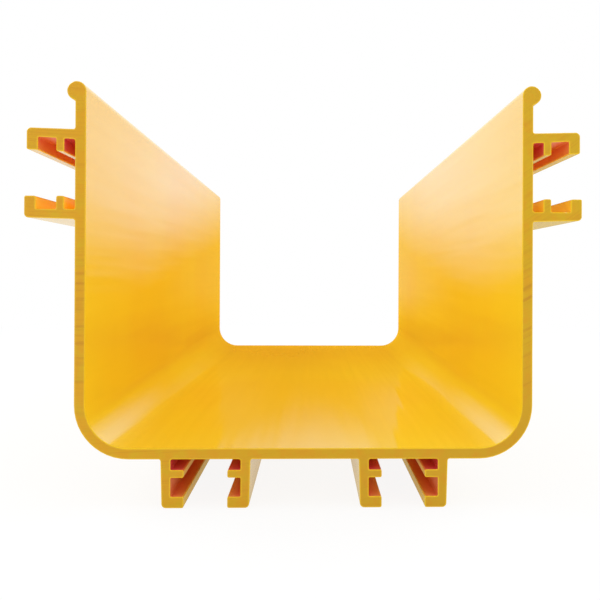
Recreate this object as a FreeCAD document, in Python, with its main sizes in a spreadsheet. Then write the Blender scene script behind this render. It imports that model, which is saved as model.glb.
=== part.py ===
"""A straight section of fibre raceway: one yellow plastic extrusion, cut square at both ends.

The section is a U-shaped trough with rounded bottom corners. Each wall ends in a round bead
that a cover clips over. Pairs of hooked rails face each other across a slot: one pair on the
outside of each wall, where couplers and brackets slide on, and two pairs under the floor,
whose feet the section stands on.

The trough runs along Y, with +Z up. The origin is on the plane of the feet, under the middle
of the section. Only the half at +X is drawn, and the finished half is mirrored.
"""
import FreeCAD
import Part

import enum
import math
import os

import Sketcher

# Driving dimensions in millimetres: alias, value, meaning
SIZES = (
    ("section_length", 300.0, "length between the cut ends"),
    ("inner_width", 101.6, "clear width between the walls"),
    ("inner_depth", 84.9, "from the floor up to the top of the beads"),
    ("wall_thickness", 2.5, "walls and floor"),
    ("inner_radius", 10.0, "rounding inside the bottom corners"),
    ("bead_radius", 2.2, "round bead along the top of each wall"),
    ("neck_radius", 0.5, "rounding under the bead"),
    ("slot_width", 16.2, "between the plates of two facing rails"),
    ("lip_gap", 10.1, "mouth between the lips of two facing rails"),
    ("lip_thickness", 2.6, "lip along the tip of each rail"),
    ("rib_setback", 2.5, "from the root of a rail to its rib"),
    ("rib_thickness", 1.8, "rib between root and lip"),
    ("root_thickness", 2.3, "rail plate at its root"),
    ("tip_thickness", 2.0, "rail plate at its tip"),
    ("base_reach", 11.3, "rails under the floor, root to tip"),
    ("upper_reach", 11.1, "upper rail on a wall, root to tip"),
    ("lower_reach", 11.6, "lower rail on a wall, root to tip"),
    ("upper_rise", 0.6, "how far the upper rail climbs towards its tip"),
    ("base_slot_offset", 23.0, "from the middle of the floor to the middle of each slot under it"),
    ("side_slot_drop", 21.5, "from the top of the beads down to the middle of each slot on a wall"),
    ("tip_radius", 1.0, "outer corner at the tip of each rail"),
    ("lip_radius", 0.4, "edges of the lips and ribs"),
    ("root_radius", 0.5, "where a rail joins the wall or the floor"),
    ("hook_radius", 0.3, "inside corners where a lip or rib joins its plate"),
)

# Places that several features share, as expressions of the dimensions
FLOOR_UNDERSIDE = "dims.base_reach"
FLOOR_TOP = "dims.base_reach + dims.wall_thickness"
INNER_FACE = "dims.inner_width / 2"
OUTER_FACE = "dims.inner_width / 2 + dims.wall_thickness"
BEAD_X = "dims.inner_width / 2 + dims.bead_radius"
BEAD_TOP = "dims.base_reach + dims.wall_thickness + dims.inner_depth"
BEAD_Z = f"{BEAD_TOP} - dims.bead_radius"
SIDE_SLOT_Z = f"{BEAD_TOP} - dims.side_slot_drop"

# Measures that all rails share: across from the middle of their slot, and out from their root
PLATE_INSIDE = "dims.slot_width / 2"
LIP_END = "dims.lip_gap / 2"
BURIED = "-dims.wall_thickness / 2"
RIB_START = "dims.rib_setback"
RIB_END = "dims.rib_setback + dims.rib_thickness"

STRAIGHT_WITHIN = 1e-6
HALVES_AGREE_WITHIN = 1e-4

doc = FreeCAD.newDocument("fibre_raceway_section")


class Axis(enum.IntEnum):
    """The two axes of a sketch, as constraints number them."""

    LEVEL = -1
    UPRIGHT = -2


class Vertex(enum.IntEnum):
    """The point of a line or circle that a constraint holds."""

    START = 1
    END = 2
    CENTRE = 3


def make_sheet():
    """The spreadsheet that holds every driving dimension under its alias."""
    sheet = doc.addObject("Spreadsheet::Sheet", "dims")
    for row, (alias, value, meaning) in enumerate(SIZES, start=1):
        sheet.set(f"A{row}", alias)
        sheet.set(f"B{row}", str(value))
        sheet.set(f"C{row}", meaning)
        sheet.setAlias(f"B{row}", alias)
    doc.recompute()


def value_of(expression):
    """The number that an expression of the dimensions comes to now."""
    return float(doc.dims.evalExpression(expression))


def new_sketch(body, name):
    """An empty sketch on the body's own XZ plane, across the length of the section."""
    sketch = body.newObject("Sketcher::SketchObject", name)
    plane = next(f for f in body.Origin.OriginFeatures if f.Role == "XZ_Plane")
    sketch.AttachmentSupport = [(plane, "")]
    sketch.MapMode = "FlatFace"
    return sketch


def dimension(sketch, kind, vertex, expression):
    """Ties one coordinate of a vertex to the sheet. A zero X puts the vertex on the Z axis."""
    if expression == "0":
        sketch.addConstraint(Sketcher.Constraint("PointOnObject", *vertex, Axis.UPRIGHT))
        return
    size = value_of(expression)
    origin = (Axis.LEVEL, Vertex.START)
    index = sketch.addConstraint(Sketcher.Constraint(kind, *origin, *vertex, size))
    sketch.setExpression(f"Constraints[{index}]", expression)


def draw_outline(sketch, corners):
    """A closed outline of straight sides through corners given as (x, z) expressions.

    A side whose ends share a coordinate is held upright or level, so that each such side takes
    one dimension, and a sloping side takes one for each coordinate of its ends.
    """
    points = [FreeCAD.Vector(value_of(x), value_of(z), 0) for x, z in corners]
    first = sketch.GeometryCount
    count = len(corners)
    for i in range(count):
        sketch.addGeometry(Part.LineSegment(points[i], points[(i + 1) % count]), False)
    for i in range(count):
        joint = (first + i, Vertex.END, first + (i + 1) % count, Vertex.START)
        sketch.addConstraint(Sketcher.Constraint("Coincident", *joint))
    for i, (x, z) in enumerate(corners):
        before_x, before_z = corners[i - 1] if i else ("", "")
        if x == before_x:
            sketch.addConstraint(Sketcher.Constraint("Vertical", first + i - 1))
        else:
            dimension(sketch, "DistanceX", (first + i, Vertex.START), x)
        if z == before_z:
            sketch.addConstraint(Sketcher.Constraint("Horizontal", first + i - 1))
        else:
            dimension(sketch, "DistanceY", (first + i, Vertex.START), z)


def pad_full_length(body, sketch, name):
    """Extrudes a sketch over the whole section, half of it to each side of the XZ plane."""
    pad = body.newObject("PartDesign::Pad", name)
    pad.Profile = sketch
    pad.SideType = "Symmetric"
    pad.setExpression("Length", "dims.section_length")
    pad.Refine = True
    doc.recompute()


def lengthwise_edges(shape, places):
    """The names of the edges along Y that pass through the given (x, z) places."""
    names = []
    for x, z in places:
        nearest, gap = None, math.inf
        for number, edge in enumerate(shape.Edges, start=1):
            start = edge.Vertexes[0].Point
            end = edge.Vertexes[-1].Point
            if math.hypot(end.x - start.x, end.z - start.z) > STRAIGHT_WITHIN:
                continue
            distance = math.hypot(start.x - x, start.z - z)
            if distance < gap:
                nearest, gap = f"Edge{number}", distance
        names.append(nearest)
    return names


def round_edges(body, name, places, radius):
    """Rounds the lengthwise edges at the given places by a radius taken from the sheet."""
    base = body.Tip
    fillet = body.newObject("PartDesign::Fillet", name)
    fillet.Base = (base, lengthwise_edges(base.Shape, places))
    fillet.setExpression("Radius", radius)
    doc.recompute()


def make_trough(body):
    """Half of the floor and one wall, as an L whose corner is rounded inside and outside."""
    sketch = new_sketch(body, "trough_sketch")
    draw_outline(sketch, [
        ("0", FLOOR_UNDERSIDE),
        (OUTER_FACE, FLOOR_UNDERSIDE),
        (OUTER_FACE, BEAD_Z),
        (INNER_FACE, BEAD_Z),
        (INNER_FACE, FLOOR_TOP),
        ("0", FLOOR_TOP),
    ])
    pad_full_length(body, sketch, "trough")
    inside = [(value_of(INNER_FACE), value_of(FLOOR_TOP))]
    outside = [(value_of(OUTER_FACE), value_of(FLOOR_UNDERSIDE))]
    round_edges(body, "corner_inside", inside, "dims.inner_radius")
    round_edges(body, "corner_outside", outside, "dims.inner_radius + dims.wall_thickness")


def make_bead(body):
    """The round bead on the wall, flush with its inner face and standing out from its outer one."""
    sketch = new_sketch(body, "bead_sketch")
    centre = FreeCAD.Vector(value_of(BEAD_X), value_of(BEAD_Z), 0)
    radius = value_of("dims.bead_radius")
    circle = sketch.addGeometry(Part.Circle(centre, FreeCAD.Vector(0, 0, 1), radius), False)
    dimension(sketch, "DistanceX", (circle, Vertex.CENTRE), BEAD_X)
    dimension(sketch, "DistanceY", (circle, Vertex.CENTRE), BEAD_Z)
    index = sketch.addConstraint(Sketcher.Constraint("Radius", circle, radius))
    sketch.setExpression(f"Constraints[{index}]", "dims.bead_radius")
    pad_full_length(body, sketch, "bead")


class Rail:
    """One hooked rail of a facing pair: a plate with a rib half way out and a lip at its tip.

    Its section is drawn by two measures: out, from the face that it stands on, and across,
    from the middle of the slot. place turns them into the x and z of the body.
    """

    def __init__(self, reach, rise, place):
        self.reach = reach
        self.rise = rise
        self.place = place

    def at(self, out, across):
        """The (x, z) expressions of a point, lifted by the climb of the rail at that reach."""
        climb = f" + {self.rise} * ({out}) / {self.reach}" if self.rise else ""
        return self.place(out, f"{across}{climb}")

    def spot(self, out, across):
        """The same point as numbers."""
        x, z = self.at(out, across)
        return value_of(x), value_of(z)

    @property
    def lip_start(self):
        return f"{self.reach} - dims.lip_thickness"

    def outside(self, out):
        """The outer face of the plate, which thins from root to tip."""
        thinning = f"(dims.root_thickness - dims.tip_thickness) * ({out}) / {self.reach}"
        return f"{PLATE_INSIDE} + dims.root_thickness - {thinning}"

    def corners(self):
        """The section, from inside the wall it grows from round by the tip and back."""
        return [
            self.at(BURIED, self.outside(BURIED)),
            self.at(self.reach, self.outside(self.reach)),
            self.at(self.reach, LIP_END),
            self.at(self.lip_start, LIP_END),
            self.at(self.lip_start, PLATE_INSIDE),
            self.at(RIB_END, PLATE_INSIDE),
            self.at(RIB_END, LIP_END),
            self.at(RIB_START, LIP_END),
            self.at(RIB_START, PLATE_INSIDE),
            self.at(BURIED, PLATE_INSIDE),
        ]

    def tip(self):
        return [self.spot(self.reach, self.outside(self.reach))]

    def lip_edges(self):
        outs = (self.reach, self.lip_start, RIB_END, RIB_START)
        return [self.spot(out, LIP_END) for out in outs]

    def hook_corners(self):
        return [self.spot(out, PLATE_INSIDE) for out in (self.lip_start, RIB_END, RIB_START)]

    def roots(self):
        return [self.spot("0", self.outside("0")), self.spot("0", PLATE_INSIDE)]


def place_upper(out, across):
    """On the wall, above the middle of the side slot."""
    return f"{OUTER_FACE} + ({out})", f"{SIDE_SLOT_Z} + ({across})"


def place_lower(out, across):
    """On the wall, below the middle of the side slot."""
    return f"{OUTER_FACE} + ({out})", f"{SIDE_SLOT_Z} - ({across})"


def place_far(out, across):
    """Under the floor, on the side of the slot that is further from the middle."""
    return f"dims.base_slot_offset + ({across})", f"{FLOOR_UNDERSIDE} - ({out})"


def place_near(out, across):
    """Under the floor, on the side of the slot that is nearer the middle."""
    return f"dims.base_slot_offset - ({across})", f"{FLOOR_UNDERSIDE} - ({out})"


def make_rails(body):
    """The pair on the wall and the pair under the floor, then the rounding of all four."""
    side_pair = [
        Rail("dims.upper_reach", "dims.upper_rise", place_upper),
        Rail("dims.lower_reach", "", place_lower),
    ]
    base_pair = [
        Rail("dims.base_reach", "", place_far),
        Rail("dims.base_reach", "", place_near),
    ]
    for name, pair in (("side_rails", side_pair), ("base_rails", base_pair)):
        sketch = new_sketch(body, f"{name}_sketch")
        for rail in pair:
            draw_outline(sketch, rail.corners())
        pad_full_length(body, sketch, name)
    rails = side_pair + base_pair
    tips = [spot for rail in rails for spot in rail.tip()]
    lips = [spot for rail in rails for spot in rail.lip_edges()]
    hooks = [spot for rail in rails for spot in rail.hook_corners()]
    roots = [spot for rail in rails for spot in rail.roots()]
    round_edges(body, "rail_tips", tips, "dims.tip_radius")
    round_edges(body, "lip_edges", lips, "dims.lip_radius")
    round_edges(body, "hook_corners", hooks, "dims.hook_radius")
    round_edges(body, "rail_roots", roots, "dims.root_radius")


def round_neck(body):
    """The small rounding where the bead bulges out from the outer face of the wall."""
    x = value_of(OUTER_FACE)
    radius = value_of("dims.bead_radius")
    drop = math.sqrt(radius ** 2 - (x - value_of(BEAD_X)) ** 2)
    round_edges(body, "bead_neck", [(x, value_of(BEAD_Z) - drop)], "dims.neck_radius")


def mirror_half(body):
    """The other half, as the mirror image of the whole finished half."""
    plane = next(f for f in body.Origin.OriginFeatures if f.Role == "YZ_Plane")
    mirrored = body.newObject("PartDesign::Mirrored", "other_half")
    mirrored.TransformMode = "Whole shape"
    mirrored.MirrorPlane = (plane, [""])
    mirrored.Refine = True
    body.Tip = mirrored
    doc.recompute()


def make_channel():
    """The whole section as one body, because it leaves the die as one piece."""
    body = doc.addObject("PartDesign::Body", "channel")
    body.Label = "channel"
    make_trough(body)
    make_bead(body)
    make_rails(body)
    round_neck(body)
    half_volume = body.Shape.Volume
    mirror_half(body)
    ratio = body.Shape.Volume / half_volume
    if abs(ratio - 2) > HALVES_AGREE_WITHIN:
        raise RuntimeError(f"the mirrored section holds {ratio:.4f} times its half, not twice")
    return body


def check_document(body):
    """Stops before anything is written if a feature failed or the body isn't one closed solid."""
    for item in doc.Objects:
        if "Invalid" in item.State or "Error" in item.State:
            raise RuntimeError(f"{item.Label} did not compute: {item.State}")
    shape = body.Shape
    if shape.isNull() or not shape.isValid() or len(shape.Solids) != 1:
        raise RuntimeError(f"{body.Label} is not one valid solid")


make_sheet()
channel = make_channel()
check_document(channel)
os.makedirs("parts", exist_ok=True)
channel.Shape.exportStep(os.path.join("parts", f"{channel.Label}.step"))
box = channel.Shape.BoundBox
print(f"channel {box.XLength:.2f} x {box.YLength:.2f} x {box.ZLength:.2f} mm,", end=" ")
print(f"lowest {box.ZMin:.3f}, volume {channel.Shape.Volume / 1000:.1f} cm3")
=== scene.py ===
"""A straight section of yellow fibre raceway, seen along its trough from one cut end.

The section is one plastic extrusion. Its skin is worked out here from the same sizes as the
solid that it stands for, with fine roundings and true normals, so that its gloss runs smoothly.
Everything is in metres: X across, Y along the trough, Z up from the feet.
"""
import math

import bpy
import numpy as np
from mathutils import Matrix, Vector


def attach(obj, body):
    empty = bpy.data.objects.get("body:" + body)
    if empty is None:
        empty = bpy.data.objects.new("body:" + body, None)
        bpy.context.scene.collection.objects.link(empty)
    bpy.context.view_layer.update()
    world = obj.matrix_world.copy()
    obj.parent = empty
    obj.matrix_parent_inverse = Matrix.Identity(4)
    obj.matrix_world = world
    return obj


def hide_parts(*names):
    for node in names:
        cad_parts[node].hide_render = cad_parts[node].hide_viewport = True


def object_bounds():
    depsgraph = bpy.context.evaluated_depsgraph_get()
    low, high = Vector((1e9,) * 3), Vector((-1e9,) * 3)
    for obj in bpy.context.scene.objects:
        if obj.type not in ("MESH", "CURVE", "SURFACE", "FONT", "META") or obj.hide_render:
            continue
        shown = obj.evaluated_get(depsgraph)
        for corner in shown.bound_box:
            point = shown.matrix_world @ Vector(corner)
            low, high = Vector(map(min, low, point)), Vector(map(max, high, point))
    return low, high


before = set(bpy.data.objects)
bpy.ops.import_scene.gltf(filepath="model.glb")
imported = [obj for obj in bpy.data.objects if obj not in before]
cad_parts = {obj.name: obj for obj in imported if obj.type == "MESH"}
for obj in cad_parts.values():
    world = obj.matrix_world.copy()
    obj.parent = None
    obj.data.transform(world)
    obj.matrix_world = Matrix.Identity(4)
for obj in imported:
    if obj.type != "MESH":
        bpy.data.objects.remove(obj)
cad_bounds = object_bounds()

MM = 0.001

# Sizes of the section
INNER_WIDTH = 101.6 * MM
INNER_DEPTH = 84.9 * MM
WALL_THICKNESS = 2.5 * MM
INNER_RADIUS = 10.0 * MM
BEAD_RADIUS = 2.2 * MM
NECK_RADIUS = 0.5 * MM
SLOT_WIDTH = 16.2 * MM
LIP_GAP = 10.1 * MM
LIP_THICKNESS = 2.6 * MM
RIB_SETBACK = 2.5 * MM
RIB_THICKNESS = 1.8 * MM
ROOT_THICKNESS = 2.3 * MM
TIP_THICKNESS = 2.0 * MM
BASE_REACH = 11.3 * MM
UPPER_REACH = 11.1 * MM
LOWER_REACH = 11.6 * MM
UPPER_RISE = 0.6 * MM
BASE_SLOT_OFFSET = 23.0 * MM
SIDE_SLOT_DROP = 21.5 * MM
TIP_RADIUS = 1.0 * MM
LIP_RADIUS = 0.4 * MM
ROOT_RADIUS = 0.5 * MM
HOOK_RADIUS = 0.3 * MM

# Places worked out from the sizes
INNER_FACE = INNER_WIDTH / 2
OUTER_FACE = INNER_FACE + WALL_THICKNESS
FLOOR_UNDERSIDE = BASE_REACH
FLOOR_TOP = FLOOR_UNDERSIDE + WALL_THICKNESS
BEAD_TOP = FLOOR_TOP + INNER_DEPTH
SIDE_SLOT_Z = BEAD_TOP - SIDE_SLOT_DROP
NEAR_END = cad_bounds[0][1]
FAR_END = cad_bounds[1][1]

# How far inside a slot its faces lie, from 0 in the open to 1 in the corners at its bottom
# These depths set the painted shade inside the slots, and their roughness
BOTTOM_DEPTH = 0.1
LIP_DEPTH = 0.5
PLATE_DEPTH = 0.6
RIB_DEPTH = 0.9
CORNER_DEPTH = 1.0
BASE_RIB_DEPTH = 0.3
LOWER_SHADE = 0.13

# Mesh: points on a rounding, the broken rim of a cut end, the narrow edge on its flat, and the
# distance below which two points are one
ARC_POINTS = 13
RIM = 0.12 * MM
EDGE = 0.25 * MM
SAME_POINT = 1e-7

# Middle of the saw blade that cut the ends, across and up
BLADE_CENTRE = (-50 * MM, 230 * MM)

# Camera, fitted to both ends of the section. Its turn is in degrees, its lens in millimetres.
CAMERA_PLACE = (0.00153, -0.35709, 0.05425)
CAMERA_TURN = (90.214, -0.246, -1.930)
FOCAL_LENGTH = 53.35
SENSOR_WIDTH = 36.0
SHIFT = (-0.0703, -0.0480)
CLIP_START = 10 * MM


def rail_corners(reach, rise=0.0, shade=1.0, rib_depth=0.0):
    """Corners of one hooked rail as rows of (out, across, radius, depth before, depth after).

    They run from the outer root round by the tip, lip and rib to the inner root, and end with a
    point of the slot's bottom that lies open between the lips. Out is measured from the face that
    the rail stands on, and across from the middle of the slot, to which rise * out / reach is
    added, so that the whole rail climbs towards its tip. The depths say how far inside the slot
    the faces before and after a corner lie, times shade; they set the painted shade of the slot.
    The rib's edge has rib_depth.
    """
    plate = SLOT_WIDTH / 2
    lip = LIP_GAP / 2
    lip_start = reach - LIP_THICKNESS
    rib_end = RIB_SETBACK + RIB_THICKNESS
    rows = np.array([
        (0.0, plate + ROOT_THICKNESS, ROOT_RADIUS, 0.0, 0.0),
        (reach, plate + TIP_THICKNESS, TIP_RADIUS, 0.0, 0.0),
        (reach, lip, LIP_RADIUS, 0.0, 0.0),
        (lip_start, lip, LIP_RADIUS, 0.0, LIP_DEPTH),
        (lip_start, plate, HOOK_RADIUS, PLATE_DEPTH, PLATE_DEPTH),
        (rib_end, plate, HOOK_RADIUS, PLATE_DEPTH, PLATE_DEPTH),
        (rib_end, lip, LIP_RADIUS, LIP_DEPTH, rib_depth),
        (RIB_SETBACK, lip, LIP_RADIUS, rib_depth, RIB_DEPTH),
        (RIB_SETBACK, plate, HOOK_RADIUS, CORNER_DEPTH, CORNER_DEPTH),
        (0.0, plate, ROOT_RADIUS, CORNER_DEPTH, CORNER_DEPTH),
        (0.0, lip, 0.0, BOTTOM_DEPTH, BOTTOM_DEPTH),
    ])
    rows[:, 1] += rise * rows[:, 0] / reach
    rows[:, 3:] *= shade
    return rows


def bead_corners():
    """Corners whose rounding gives the bead and its neck, from the inner face to the outer one.

    The bead and the neck's rounding touch on the line between their centres, so both are also
    tangent to the line across it there: the points p with (p - centre) . u = bead radius.
    """
    centre = np.array([INNER_FACE + BEAD_RADIUS, BEAD_TOP - BEAD_RADIUS])
    across = OUTER_FACE + NECK_RADIUS - centre[0]
    between = BEAD_RADIUS + NECK_RADIUS
    u = np.array([across, -math.sqrt(between ** 2 - across ** 2)]) / between
    x = np.array([centre[0] + BEAD_RADIUS, OUTER_FACE])
    z = centre[1] + (BEAD_RADIUS - (x - centre[0]) * u[0]) / u[1]
    return np.array([
        (INNER_FACE, BEAD_TOP, BEAD_RADIUS, 0.0, 0.0),
        (x[0], BEAD_TOP, BEAD_RADIUS, 0.0, 0.0),
        (x[0], z[0], BEAD_RADIUS, 0.0, 0.0),
        (x[1], z[1], NECK_RADIUS, 0.0, 0.0),
    ])


def placed(rows, out_axis, origin, out_sign, across_sign):
    """Rail rows as (x, z, ...), with out along one axis from origin and across along the other."""
    moved = rows.copy()
    moved[:, out_axis] = origin[out_axis] + out_sign * rows[:, 0]
    moved[:, 1 - out_axis] = origin[1 - out_axis] + across_sign * rows[:, 1]
    return moved


def backwards(rows):
    """The same corners met in reverse order, so each one's two depths change places."""
    return rows[::-1, [0, 1, 2, 4, 3]]


def section_corners():
    """Corners of the whole section, as (x, z, ...) rows, clockwise seen from the near end.

    The half at +X runs from the inside bottom corner up the wall, over the bead and down past
    the rails. The other half is its mirror image in reverse order.
    """
    side_slot = (OUTER_FACE, SIDE_SLOT_Z)
    base_slot = (BASE_SLOT_OFFSET, FLOOR_UNDERSIDE)
    upper = rail_corners(UPPER_REACH, UPPER_RISE)
    lower = backwards(rail_corners(LOWER_REACH, shade=LOWER_SHADE))
    base = rail_corners(BASE_REACH, rib_depth=BASE_RIB_DEPTH)
    half = np.vstack([
        [(INNER_FACE, FLOOR_TOP, INNER_RADIUS, 0.0, 0.0)],
        bead_corners(),
        placed(upper, 0, side_slot, 1, 1),
        placed(lower, 0, side_slot, 1, -1),
        [(OUTER_FACE, FLOOR_UNDERSIDE, INNER_RADIUS + WALL_THICKNESS, 0.0, 0.0)],
        placed(base, 1, base_slot, -1, 1),
        placed(backwards(base), 1, base_slot, -1, -1),
    ])
    return np.vstack([half, backwards(half * (-1, 1, 1, 1, 1))])


def rounded_outline(corners):
    """Points, outward normals and depths of a closed clockwise outline, every corner rounded.

    At a corner the direction of travel d turns by an angle a. Its arc starts radius * tan(a / 2)
    before the corner. At turn t from there it has reached
    radius * (sin(t) * d + (1 - cos(t)) * side), and the direction is cos(t) * d + sin(t) * side,
    whose left-hand perpendicular points out of the solid.
    """
    place = corners[:, :2]
    radius = corners[:, 2, None]
    step = place - np.roll(place, 1, axis=0)
    arriving = step / np.linalg.norm(step, axis=1, keepdims=True)
    leaving = np.roll(arriving, -1, axis=0)
    side = arriving[:, ::-1] * (-1, 1)
    turn = np.arctan2((leaving * side).sum(1), (leaving * arriving).sum(1))[:, None]
    start = place - arriving * radius * np.tan(np.abs(turn) / 2)
    t = (turn * np.linspace(0, 1, ARC_POINTS))[:, :, None]
    bend = np.sign(turn)[:, :, None]
    d, left = arriving[:, None], side[:, None]
    travel = np.abs(np.sin(t)) * d + bend * (1 - np.cos(t)) * left
    points = start[:, None] + radius[:, None] * travel
    normals = np.cos(t) * left - np.sin(t) * d
    points, normals = points.reshape(-1, 2), normals.reshape(-1, 2)
    depths = np.linspace(corners[:, 3], corners[:, 4], ARC_POINTS, axis=1).ravel()
    apart = np.linalg.norm(np.roll(points, -1, axis=0) - points, axis=1) > SAME_POINT
    return points[apart], normals[apart], depths[apart]


def extruded_mesh(name):
    """The skin of the section: its outline carried from the near end to the far end.

    Each ring has its y and how far it is drawn in along the normals, so a ring's points are
    points - normals * inset. The outer rings give both cut ends a narrow edge on the flat and a
    broken rim, and one face closes each end. The faces come band by band, then the two ends.
    """
    points, normals, depths = rounded_outline(section_corners())
    count = len(points)
    rings = np.array([
        (NEAR_END, RIM + EDGE), (NEAR_END, RIM), (NEAR_END + RIM, 0),
        (FAR_END - RIM, 0), (FAR_END, RIM), (FAR_END, RIM + EDGE)])
    vertices = np.empty((len(rings), count, 3))
    vertices[:, :, 0::2] = points - normals * rings[:, 1, None, None]
    vertices[:, :, 1] = rings[:, 0, None]
    here = np.arange(count)
    after = np.roll(here, -1)
    bands = [np.column_stack([here, after, after + count, here + count]) + band * count
             for band in range(len(rings) - 1)]
    faces = np.vstack(bands).tolist()
    faces.append(here[::-1].tolist())
    faces.append((here + (len(rings) - 1) * count).tolist())
    mesh = bpy.data.meshes.new(name)
    mesh.from_pydata(vertices.reshape(-1, 3), [], faces)
    quad = np.column_stack([here, after, after, here])
    set_normals(mesh, normals, quad)
    set_skin_map(mesh, points, rings)
    set_finish(mesh, depths, quad, len(bands))
    mesh.update()
    mesh.validate()
    return mesh


def set_normals(mesh, normals, quad):
    """Gives each face corner its true normal.

    It is the outline's normal * share + slope along Y, made one long, with a share and slope for
    each band. The end faces point along Y.
    """
    outward = np.zeros((len(normals), 3))
    outward[:, 0::2] = normals
    corners = []
    for share, slope in ((0, -1), (1, -1), (1, 0), (1, 1), (0, 1)):
        leaned = outward * share + (0, slope, 0)
        leaned /= np.linalg.norm(leaned, axis=1, keepdims=True)
        corners.append(leaned[quad].reshape(-1, 3))
    corners.append(np.tile((0, -1, 0), (len(normals), 1)))
    corners.append(np.tile((0, 1, 0), (len(normals), 1)))
    mesh.polygons.foreach_set("use_smooth", np.ones(len(mesh.polygons), bool))
    mesh.normals_split_custom_set(np.vstack(corners))


def set_skin_map(mesh, points, rings):
    """UV map in metres: u is the way round the outline, v the way from ring to ring.

    The end faces have x and z there.
    """
    steps = np.linalg.norm(np.roll(points, -1, axis=0) - points, axis=1)
    around = np.concatenate([[0], np.cumsum(steps)])
    along = np.concatenate([[0], np.cumsum(np.linalg.norm(np.diff(rings, axis=0), axis=1))])
    u = np.column_stack([around[:-1], around[1:], around[1:], around[:-1]])
    strips = []
    for v0, v1 in zip(along, along[1:]):
        v = np.tile((v0, v0, v1, v1), (len(points), 1))
        strips.append(np.stack([u, v], axis=2).reshape(-1, 2))
    ends = [points[::-1], points]
    layer = mesh.uv_layers.new(name="skin")
    layer.data.foreach_set("uv", np.vstack(strips + ends).ravel())


def set_finish(mesh, depths, quad, bands):
    """Marks the drawn side with its depth inside the slots, and the sawn ends with their edges.

    The depth, which sets the painted shade in the slots, is on the middle band. The edge, which
    sets the painted highlight on the sawn rims, rises from 0 to 1 towards the rim, on the first and
    the last band, which are sawn, as the end faces are.
    """
    count = len(depths)
    depth = np.zeros((bands, count, 4))
    depth[bands // 2] = depths[quad]
    edge = np.zeros_like(depth)
    edge[0] = (0, 0, 1, 1)
    edge[-1] = (1, 1, 0, 0)
    for kind, values in (("depth", depth), ("edge", edge)):
        attribute = mesh.attributes.new(kind, "FLOAT", "CORNER")
        attribute.data.foreach_set("value", np.append(values.ravel(), np.zeros(2 * count)))
    material_of = np.zeros(len(mesh.polygons), int)
    material_of[:count] = 1
    material_of[-count - 2:] = 1
    mesh.polygons.foreach_set("material_index", material_of)


class Value:
    """A socket whose number or vector takes part in expressions. Operators add Math nodes."""

    def __init__(self, graph, socket):
        self.graph = graph
        self.socket = socket

    def math(self, operation, *others):
        """This value and others through one Math node."""
        return self.graph.math(operation, self, *others)

    def __add__(self, other):
        return self.math("ADD", other)

    __radd__ = __add__

    def __mul__(self, other):
        return self.math("MULTIPLY", other)

    __rmul__ = __mul__

    def __sub__(self, other):
        return self.math("SUBTRACT", other)

    def __rsub__(self, other):
        return self.graph.math("SUBTRACT", other, self)

    def clamped(self):
        """Held between 0 and 1."""
        return self.math("MINIMUM", 1.0).math("MAXIMUM", 0.0)


class Graph:
    """The nodes of one material or of the world, and the few ways that they are made here."""

    def __init__(self, owner):
        owner.use_nodes = True
        self.tree = owner.node_tree
        self.tree.nodes.clear()

    def node(self, kind, settings=None, sockets=None):
        """One node of any type: its settings first, then the values or links of its sockets."""
        made = self.tree.nodes.new(kind)
        for name, setting in (settings or {}).items():
            if name == "stops":
                self.set_stops(made.color_ramp, setting)
            else:
                setattr(made, name, setting)
        for key, value in (sockets or {}).items():
            if isinstance(value, Value):
                self.tree.links.new(value.socket, made.inputs[key])
            else:
                made.inputs[key].default_value = value
        return made

    @staticmethod
    def set_stops(ramp, stops):
        """Gives a colour ramp its stops, as pairs of position and colour."""
        while len(ramp.elements) < len(stops):
            ramp.elements.new(1.0)
        for element, (position, colour) in zip(ramp.elements, stops):
            element.position = position
            element.color = colour

    def out(self, made, key=0):
        """A node's output, the first one if none is named."""
        return Value(self, made.outputs[key])

    def math(self, operation, *values):
        made = self.node("ShaderNodeMath", {"operation": operation}, dict(enumerate(values)))
        return self.out(made)

    def vector(self, x, y, z):
        return self.out(self.node("ShaderNodeCombineXYZ", sockets={"X": x, "Y": y, "Z": z}))

    def split(self, vector):
        made = self.node("ShaderNodeSeparateXYZ", sockets={"Vector": vector})
        return [self.out(made, axis) for axis in "XYZ"]

    def coordinates(self, kind):
        """Where a point lies, as Object, UV or Generated coordinates."""
        return self.out(self.node("ShaderNodeTexCoord"), kind)

    def stored(self, name):
        """A number stored on the mesh."""
        return self.out(self.node("ShaderNodeAttribute", {"attribute_name": name}), "Fac")

    def noise(self, vector, scale, detail, roughness=0.5):
        made = self.node("ShaderNodeTexNoise", sockets={
            "Vector": vector, "Scale": scale, "Detail": detail, "Roughness": roughness})
        return self.out(made)

    def rise(self, value, low, high):
        """0 below low and 1 above high, with a smooth way between."""
        made = self.node("ShaderNodeMapRange", {"interpolation_type": "SMOOTHSTEP"}, {
            "Value": value, "From Min": low, "From Max": high})
        return self.out(made)

    def band(self, value, way_in, way_out):
        """1 from the way in to the way out, each of which is a low and a high end."""
        return self.rise(value, *way_in) * (1 - self.rise(value, *way_out))

    def blend(self, factor, first, second):
        """A colour that goes from first to second as factor goes from 0 to 1."""
        made = self.node("ShaderNodeMix", {"data_type": "RGBA"}, {0: factor, 6: first, 7: second})
        return self.out(made, 2)

    def scaled(self, vector, factors):
        made = self.node("ShaderNodeVectorMath", {"operation": "MULTIPLY"}, {0: vector, 1: factors})
        return self.out(made)

    def bump(self, height, distance, normal=None):
        """The normal bent by a relief, on top of another one's if it is given."""
        sockets = {"Height": height, "Distance": distance}
        if normal is not None:
            sockets["Normal"] = normal
        return self.out(self.node("ShaderNodeBump", sockets=sockets))


def linear(red, green, blue):
    """A colour written as the 0 to 255 values it shows on screen, as the shader's linear values."""
    shown = np.array([red, green, blue]) / 255
    curved = np.where(shown <= 0.04045, shown / 12.92, ((shown + 0.055) / 1.055) ** 2.4)
    return (*curved.tolist(), 1.0)


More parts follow.
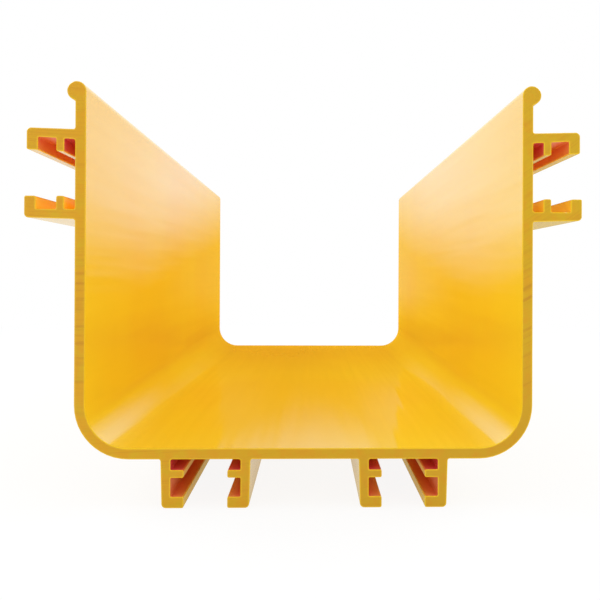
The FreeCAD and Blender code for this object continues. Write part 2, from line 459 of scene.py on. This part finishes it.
WHITE = linear(255, 255, 255)
YELLOW = linear(244, 208, 35)
DEEP_YELLOW = linear(240, 193, 33)
# Painted shade on the trough's floor
FLOOR_PAINTED_SHADE = linear(228, 170, 33)
# Painted shade inside the slots, from gold to red
PAINTED_SLOT_GOLD = linear(255, 212, 58)
PAINTED_SLOT_ORANGE = linear(243, 134, 86)
PAINTED_SLOT_RED = linear(228, 80, 88)
# Painted glow (emission) in the pockets of the lower side rails
NO_GLOW = linear(0, 0, 0)
PAINTED_POCKET_GLOW = linear(104, 50, 0)
SAWN_GOLD = linear(220, 161, 12)
SAWN_OLIVE = linear(214, 171, 12)
SAWN_MARK = linear(190, 124, 22)
# Painted highlight on the sawn edges
SAWN_EDGE_HIGHLIGHT = linear(240, 196, 34)
# Painted bounced light, shade and pale edges on the cards, which the section's gloss shows
BOUNCED_YELLOW = linear(238, 182, 34)
BOUNCED_ORANGE = linear(222, 154, 36)
CARD_EDGE = linear(198, 190, 158)
CARD_PALE = linear(240, 238, 226)
# Painted shadow under the section, which only its gloss shows
PAINTED_SHADOW_TAN = linear(198, 180, 134)
PAINTED_SHADOW_GREY = linear(224, 221, 206)
FLOOR_WHITE = linear(246, 246, 246)

# Below, a pair is the low and the high end of a smooth change, and a lean is the change per
# metre across the section

PLASTIC_IOR = 1.5

# Drawn surface: the clouds in its yellow
TONE_SCALE = 9.0
TONE_LEAN = 3.0
TONE_RANGE = (0.3, 0.75)

# Painted shade on the trough's floor: a strip left of the middle, and the stretch to the far end
STRIP_LEFT = (-42 * MM, -18 * MM)
STRIP_RIGHT = (-10 * MM, 25 * MM)
STRIP_SHARE = 0.35
FAR_STRETCH = (-80 * MM, FAR_END)
FAR_SHARE = 0.2
FLOOR_FADE = (FLOOR_TOP, FLOOR_TOP + 8 * MM)

# Painted shade inside the slots, by depth: the yellow turns gold, orange and red
SLOT_MOUTH = (0.0, 0.12)
SLOT_SHADE_STOPS = ((0.0, PAINTED_SLOT_GOLD), (0.25, PAINTED_SLOT_GOLD), (0.6, PAINTED_SLOT_ORANGE), (1.0, PAINTED_SLOT_RED))

# Painted glow (emission) in the pockets of the lower side rails: its start and end by height, and
# its edge by depth
POCKET_FOOT = (FLOOR_TOP, FLOOR_TOP + 5 * MM)
POCKET_HEAD = (SIDE_SLOT_Z - 5.0 * MM, SIDE_SLOT_Z - 4.5 * MM)
POCKET_EDGE = (0.02, 0.06)
POCKET_SHARE = 0.75
POCKET_LEAN = 4.0

# Relief and gloss of the drawn surface: a slow swell, waves, and fine lines along the section
SWELL_SCALE = 18.0
SWELL_STRETCH = (1.0, 0.25, 1.0)
SWELL_HEIGHT = 3.0 * MM
WAVE_SCALE = 110.0
WAVE_STRETCH = (1.0, 0.05, 1.0)
WAVE_HEIGHT = 0.5 * MM
LINES_AROUND = 600.0
LINES_ALONG = 2.0
LINE_HEIGHT = 0.004 * MM
DRAWN_ROUGHNESS = 0.08
LINE_ROUGHNESS = 0.05
SLOT_ROUGHNESS = 0.6

# Sawn ends: the blade's arcs and scratches, by distance from its centre and across, and clouds
ARC_SCALE = 800.0
ARC_SPREAD = 30.0
ARC_RANGE = (0.45, 0.7)
SCRATCH_SCALE = 3500.0
SCRATCH_SPREAD = 40.0
SCRATCH_RANGE = (0.5, 0.75)
SCRATCH_TONE = 0.5
SCRATCH_HEIGHT = 0.3
CLOUD_SCALE = 260.0
CLOUD_LEAN = 1.2
CLOUD_RANGE = (0.35, 0.65)
CLOUD_HEIGHT = 0.5
SAWN_HEIGHT = 0.04 * MM
SAWN_ROUGHNESS = 0.5
SAWN_GLOSS = 0.3

# Where the arcs show most, across and by height, and what is left of them elsewhere
ARC_WALLS = (40 * MM, 50 * MM)
ARC_FOOT = (20 * MM, 35 * MM)
ARC_HEAD = (50 * MM, 62 * MM)
ARC_LEAST = 0.3

# Browner tone low down, more so on the right, and the painted highlight that makes the edges paler
BROWN_HEIGHT = (14 * MM, 50 * MM)
BROWN_LEAN = 5.0
BROWN_MIDDLE = 0.25
BROWN_SHARE = 0.6
EDGE_HIGHLIGHT_SHARE = 0.7


def drawn_plastic(name):
    """Glossy yellow plastic as it leaves the die; painted shade deepens it to red inside the slots.

    Its yellow is a little deeper towards the left wall, and painted shade darkens it on the floor
    left of the middle and towards the far end. Faint lengthwise lines and a slow unevenness bend
    its reflections, and the slots are duller. A painted glow (emission) in the pockets of the lower
    side rails stands for the light that passes through them, more on the left.
    """
    material = bpy.data.materials.new(name)
    g = Graph(material)
    place = g.coordinates("Object")
    across, back, up = g.split(place)
    around, along, _ = g.split(g.coordinates("UV"))
    depth = g.stored("depth")

    tone = g.noise(place, TONE_SCALE, detail=3.0) - across * TONE_LEAN
    colour = g.blend(g.rise(tone, *TONE_RANGE), YELLOW, DEEP_YELLOW)
    low = 1 - g.rise(up, *FLOOR_FADE)
    strip = g.band(across, STRIP_LEFT, STRIP_RIGHT)
    # Painted shade: a strip left of the middle and the stretch to the far end, low on the floor
    floor_shade = low * (strip * STRIP_SHARE + g.rise(back, *FAR_STRETCH) * FAR_SHARE)
    colour = g.blend(floor_shade, colour, FLOOR_PAINTED_SHADE)
    # Painted shade in the slots, deeper the further in a face lies
    painted_slot_shade = g.out(g.node("ShaderNodeValToRGB", {"stops": SLOT_SHADE_STOPS}, {"Fac": depth}))
    colour = g.blend(g.rise(depth, *SLOT_MOUTH), colour, painted_slot_shade)

    # Painted light: an emission glow in the lower pockets, stronger on the left
    painted_glow_mask = g.band(up, POCKET_FOOT, POCKET_HEAD) * g.rise(depth, *POCKET_EDGE)
    painted_glow_mask = painted_glow_mask * (POCKET_SHARE - across * POCKET_LEAN)
    glow = g.blend(painted_glow_mask, NO_GLOW, PAINTED_POCKET_GLOW)

    lines = g.noise(g.vector(around * LINES_AROUND, along * LINES_ALONG, 0.0), 1.0, detail=2.0)
    waves = g.noise(g.scaled(place, WAVE_STRETCH), WAVE_SCALE, detail=2.0)
    swell = g.noise(g.scaled(place, SWELL_STRETCH), SWELL_SCALE, detail=1.0)
    normal = g.bump(swell, SWELL_HEIGHT)
    normal = g.bump(waves, WAVE_HEIGHT, normal)
    normal = g.bump(lines, LINE_HEIGHT, normal)
    roughness = DRAWN_ROUGHNESS + lines * LINE_ROUGHNESS + depth * SLOT_ROUGHNESS
    shader = g.node("ShaderNodeBsdfPrincipled", sockets={
        "Base Color": colour, "Roughness": roughness, "Normal": normal, "IOR": PLASTIC_IOR,
        "Emission Color": glow, "Emission Strength": 1.0})
    g.node("ShaderNodeOutputMaterial", sockets={"Surface": g.out(shader)})
    return material


def sawn_plastic(name):
    """The cut ends: duller, patchy in tone, with the faint arcs that a round blade leaves.

    The arcs and the finer scratches follow the distance from the blade's centre, above the left
    wall. The arcs show most half-way up the walls. The tone is browner low down, more so on the
    right. The edges are painted paler: a painted highlight for the light that passes through them.
    """
    material = bpy.data.materials.new(name)
    g = Graph(material)
    place = g.coordinates("Object")
    across, _, up = g.split(place)
    x, z = across - BLADE_CENTRE[0], up - BLADE_CENTRE[1]
    distance = (x * x + z * z).math("SQRT")
    arcs = g.noise(g.vector(distance * ARC_SCALE, x * ARC_SPREAD, 0.0), 1.0, detail=2.0)
    fine = g.vector(distance * SCRATCH_SCALE, x * SCRATCH_SPREAD, 0.0)
    scratches = g.noise(fine, 1.0, detail=1.0)
    cloud = g.noise(place, CLOUD_SCALE, detail=4.0, roughness=0.6)

    on_walls = g.rise(across.math("ABSOLUTE"), *ARC_WALLS) * (1 - ARC_LEAST) + ARC_LEAST
    half_way = g.band(up, ARC_FOOT, ARC_HEAD) * (1 - ARC_LEAST) + ARC_LEAST
    marks = g.rise(arcs, *ARC_RANGE) * on_walls * half_way
    low = (1 - g.rise(up, *BROWN_HEIGHT)) * (across * BROWN_LEAN + BROWN_MIDDLE).clamped()
    scratched = g.rise(scratches, *SCRATCH_RANGE) * SCRATCH_TONE
    brown = marks.math("MAXIMUM", low).math("MAXIMUM", scratched)

    clouded = g.rise(cloud + across * CLOUD_LEAN, *CLOUD_RANGE)
    colour = g.blend(clouded, SAWN_GOLD, SAWN_OLIVE)
    colour = g.blend(brown * BROWN_SHARE, colour, SAWN_MARK)
    # Painted highlight on the edges of the cut ends
    colour = g.blend(g.stored("edge") * EDGE_HIGHLIGHT_SHARE, colour, SAWN_EDGE_HIGHLIGHT)
    height = cloud * CLOUD_HEIGHT - marks - scratches * SCRATCH_HEIGHT
    shader = g.node("ShaderNodeBsdfPrincipled", sockets={
        "Base Color": colour, "Roughness": SAWN_ROUGHNESS, "Normal": g.bump(height, SAWN_HEIGHT),
        "IOR": PLASTIC_IOR, "Specular IOR Level": SAWN_GLOSS})
    g.node("ShaderNodeOutputMaterial", sockets={"Surface": g.out(shader)})
    return material


def make_section():
    """The one piece, in place of the plain solid."""
    mesh = extruded_mesh("raceway_section")
    mesh.materials.append(drawn_plastic("drawn_yellow_plastic"))
    mesh.materials.append(sawn_plastic("sawn_yellow_plastic"))
    piece = bpy.data.objects.new("raceway_section", mesh)
    bpy.context.scene.collection.objects.link(piece)
    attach(piece, "root")
    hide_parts("channel")


def make_camera():
    """The photograph's view: nearly level along the trough, from just outside the near end."""
    data = bpy.data.cameras.new("camera")
    data.lens = FOCAL_LENGTH
    data.sensor_width = SENSOR_WIDTH
    data.shift_x, data.shift_y = SHIFT
    data.clip_start = CLIP_START
    camera = bpy.data.objects.new("camera", data)
    camera.location = CAMERA_PLACE
    camera.rotation_euler = [math.radians(angle) for angle in CAMERA_TURN]
    bpy.context.scene.collection.objects.link(camera)
    bpy.context.scene.camera = camera


# Studio floor: half its width, its drop below the feet, the distance over which its shadow
# fades, and the edges of the painted shadow that the section's gloss shows under it
FLOOR_HALF = 3.0
FLOOR_DROP = 0.05 * MM
SHADOW_FADE = (0.2, 0.6)
UNDER_EDGE = (INNER_FACE - INNER_RADIUS, OUTER_FACE)
GREY_MIDDLE = (8 * MM, 18 * MM)

# Share of the floor that is plain white: as light, and what being seen near and far adds to it
WHITE_AS_LIGHT = 0.5
WHITE_SEEN_NEAR = 0.4
WHITE_SEEN_FAR = 0.1

# Cards: their half width and height, and how far they stand behind the ends
CARD_HALF = 0.5
CARD_TOP = 0.6
CARD_GAP = 4 * MM

# White in the cards by height. It starts higher at the walls and on the left, and on the left it
# is full a little lower; this is painted shade in what the section's gloss shows.
WHITE_START = 37 * MM
WHITE_FULL = 115 * MM
WALL_DELAY = 18 * MM
LEFT_DELAY = 9 * MM
LEFT_GAIN = 5 * MM
LEFT_PART = (-25 * MM, 0.0)

# Painted pale haze near the walls, and the loss of white in a gloss that another gloss shows
HAZE_ACROSS = (15 * MM, INNER_FACE)
HAZE_HEIGHT = (25 * MM, 50 * MM)
HAZE_SHARE = 0.09
HAZE_LEAN = 0.05 / INNER_FACE
TWICE_MIRRORED = 1.5
TWICE_LOSS = 0.8

# Height over which the painted bounced light from the walls turns from orange to yellow
BOUNCE_HEIGHT = (FLOOR_TOP, FLOOR_TOP + 22 * MM)

# Room as light: how bright it is below and above, and where on the sky that changes
ROOM_BELOW = 0.5
ROOM_ABOVE = 0.85
ROOM_CHANGE = (-0.3, 0.2)


def staged(name, corners, surface):
    """One flat four-sided piece of the studio."""
    mesh = bpy.data.meshes.new(name)
    mesh.from_pydata(corners, [], [(0, 1, 2, 3)])
    mesh.materials.append(surface)
    sheet = bpy.data.objects.new(name, mesh)
    bpy.context.scene.collection.objects.link(sheet)
    return sheet


def white_seen(g):
    """1 for the rays that show the white background: straight, through glass or mirrored."""
    rays = g.node("ShaderNodeLightPath")
    kinds = ("Is Camera Ray", "Is Glossy Ray", "Is Transmission Ray")
    camera, glossy, transmission = [g.out(rays, kind) for kind in kinds]
    return (camera + glossy + transmission).clamped()


def make_floor():
    """A pale floor at the feet, nearly white when seen, with the section's faint shadow on it.

    Where the section's gloss shows the floor under it, a painted shadow stands there instead of
    white: grey in the middle and tan at both sides.
    """
    material = bpy.data.materials.new("pale_floor")
    g = Graph(material)
    plain = g.node("ShaderNodeBsdfDiffuse", sockets={"Color": FLOOR_WHITE})
    x, y, _ = g.split(g.coordinates("Object"))
    away = g.rise((x * x + y * y).math("SQRT"), *SHADOW_FADE)
    aside = x.math("ABSOLUTE")
    under = 1 - g.rise(aside, *UNDER_EDGE)
    mirrored = g.out(g.node("ShaderNodeLightPath"), "Is Glossy Ray")
    # Painted shadow: grey in the middle and tan at the sides
    shaded = g.blend(g.rise(aside, *GREY_MIDDLE), PAINTED_SHADOW_GREY, PAINTED_SHADOW_TAN)
    glow = g.blend(under * mirrored, WHITE, shaded)
    white = g.node("ShaderNodeEmission", sockets={"Color": glow, "Strength": 1.0})
    share = WHITE_AS_LIGHT + white_seen(g) * (WHITE_SEEN_NEAR + away * WHITE_SEEN_FAR)
    mixed = g.node("ShaderNodeMixShader", sockets={
        "Fac": share, 1: g.out(plain), 2: g.out(white)})
    g.node("ShaderNodeOutputMaterial", sockets={"Surface": g.out(mixed)})
    half, z = FLOOR_HALF, -FLOOR_DROP
    corners = [(-half, -half, z), (half, -half, z), (half, half, z), (-half, half, z)]
    staged("floor", corners, material)


def make_cards():
    """White cards close behind both ends, which only the section's gloss shows.

    Their light is painted: inside the trough it is painted shade with only the yellow light that
    the walls would throw on them, deeper low down. The white comes in with the height, later close
    to the walls and on the left as painted shade, and a pale haze lies below it near the walls,
    more on the right. A gloss that shows another gloss's image gets little of the white. Outside
    the trough the card is pale beside the left wall and duller elsewhere, a painted reflection
    there.
    """
    material = bpy.data.materials.new("white_card")
    g = Graph(material)
    x, _, z = g.split(g.coordinates("Object"))
    aside = x.math("ABSOLUTE")
    outside = g.rise(aside, INNER_FACE, OUTER_FACE)
    below = 1 - g.rise(z, FLOOR_UNDERSIDE, FLOOR_TOP)
    delay = x * x * (WALL_DELAY / INNER_FACE ** 2)
    left = 1 - g.rise(x, *LEFT_PART)
    # Painted shade: the white starts later near the walls and on the left
    white = g.rise(z - delay, WHITE_START + left * LEFT_DELAY, WHITE_FULL - left * LEFT_GAIN)
    haze = g.rise(aside, *HAZE_ACROSS) * g.rise(z, *HAZE_HEIGHT)
    white = white.math("MAXIMUM", haze * (HAZE_SHARE + x * HAZE_LEAN))
    mirrored = g.out(g.node("ShaderNodeLightPath"), "Glossy Depth")
    again = mirrored.math("GREATER_THAN", TWICE_MIRRORED)
    white = white * (1 - again * (1 - outside) * TWICE_LOSS)
    bounced = g.blend(g.rise(z, *BOUNCE_HEIGHT), BOUNCED_ORANGE, BOUNCED_YELLOW)
    colour = g.blend(white, bounced, WHITE)
    around = outside.math("MAXIMUM", below) * (1 - white)
    beside = g.blend(g.rise(x, -OUTER_FACE, -INNER_FACE), CARD_PALE, CARD_EDGE)
    colour = g.blend(around, colour, beside)
    glow = g.node("ShaderNodeEmission", sockets={"Color": colour, "Strength": 1.0})
    g.node("ShaderNodeOutputMaterial", sockets={"Surface": g.out(glow)})
    half, top = CARD_HALF, CARD_TOP
    for name, y in (("far_card", FAR_END + CARD_GAP), ("near_card", NEAR_END - CARD_GAP)):
        corners = [(-half, y, 0), (half, y, 0), (half, y, top), (-half, y, top)]
        card = staged(name, corners, material)
        card.visible_camera = False
        card.visible_diffuse = False
        card.visible_shadow = False
        card.visible_transmission = False


def make_world():
    """White where it is seen. As light it is a soft room, brighter above than below."""
    world = bpy.data.worlds.new("studio")
    bpy.context.scene.world = world
    g = Graph(world)
    _, _, z = g.split(g.coordinates("Generated"))
    room = g.rise(z, *ROOM_CHANGE) * (ROOM_ABOVE - ROOM_BELOW) + ROOM_BELOW
    seen = white_seen(g)
    strength = room * (1 - seen) + seen
    background = g.node("ShaderNodeBackground", sockets={"Color": WHITE, "Strength": strength})
    g.node("ShaderNodeOutputWorld", sockets={"Surface": g.out(background)})


def make_lamp(name, place, aim, size, power):
    """One square soft lamp, turned from its place towards its aim."""
    data = bpy.data.lights.new(name, "AREA")
    data.size = size
    data.energy = power
    lamp = bpy.data.objects.new(name, data)
    lamp.location = place
    way = np.array(aim) - np.array(place)
    tilt = math.acos(-way[2] / np.linalg.norm(way))
    spin = math.atan2(way[1], way[0]) - math.pi / 2
    lamp.rotation_euler = (tilt, 0, spin)
    lamp.visible_camera = False
    bpy.context.scene.collection.objects.link(lamp)


make_camera()
make_section()
make_floor()
make_cards()
make_world()
make_lamp("top_lamp", (0.0, -0.25, 0.8), (0, 0, 0.02), 0.6, 1.0)
make_lamp("left_lamp", (-0.6, 0.3, 0.65), (0.05, 0, 0.05), 0.5, 2.96)
make_lamp("right_lamp", (0.6, 0.3, 0.65), (-0.05, 0, 0.05), 0.5, 2.42)
bpy.context.scene.view_settings.view_transform = "Standard"
